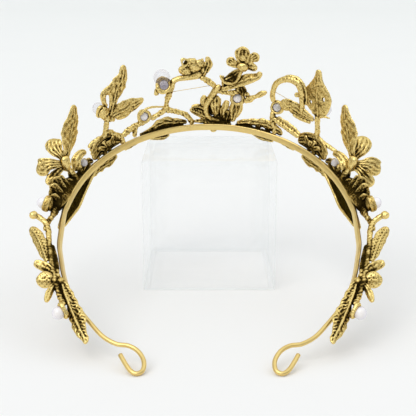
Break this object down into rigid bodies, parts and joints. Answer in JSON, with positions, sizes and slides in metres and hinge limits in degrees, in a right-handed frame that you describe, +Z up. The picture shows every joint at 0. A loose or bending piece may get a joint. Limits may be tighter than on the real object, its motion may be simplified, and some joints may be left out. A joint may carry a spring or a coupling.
{
  "type": "crown headband on clear display box",
  "caption": "Open-backed crown headband of cast leaves, blossoms and pearls on an oval band, leaning on a clear five-sided display box.",
  "frame": {"origin": "centre of the bounding box at the level both the box's rim and the band's end loops stand on", "axes": "+X to the right, +Y from the band's open ends towards the box, +Z up"},
  "size_m": [0.1629, 0.1616, 0.1142],
  "materials": {
    "band_gold": "satin antique gold plate",
    "cast_gold": "antique gold plate with dark patina in the recesses",
    "pearl": "white pearl lustre",
    "glass_bead": "clear bead with a pale pink and blue sheen",
    "clear_stone": "clear faceted stone",
    "clear_box": "polished clear acrylic"
  },
  "bodies": {
    "root": {"display_box": "clear_box", "band": "band_gold", "rose_spray": "cast_gold", "centre_spray": "cast_gold", "leaf_spray_left": "cast_gold", "arch_spray": "cast_gold", "leaf_spray_right": "cast_gold", "rosette_left": "cast_gold", "rosette_right": "cast_gold", "side_blossom_left": "cast_gold", "side_blossom_right": "cast_gold", "side_leaves_left": "cast_gold", "side_leaves_right": "cast_gold", "low_leaf_left": "cast_gold", "low_leaf_right": "cast_gold", "end_spray_left": "cast_gold", "end_spray_right": "cast_gold", "front_leaves_left": "cast_gold", "front_leaves_right": "cast_gold", "rose_bead": "glass_bead", "ring_pearl_centre": "pearl", "ring_pearl_left": "pearl", "ring_pearl_right": "pearl", "leaf_bead_left": "glass_bead", "leaf_bead_right": "glass_bead", "side_pearl_left": "pearl", "side_pearl_right": "pearl", "end_pearl_left": "pearl", "end_pearl_right": "pearl", "side_stone_left": "clear_stone", "side_stone_right": "clear_stone"}
  },
  "joints": []
}
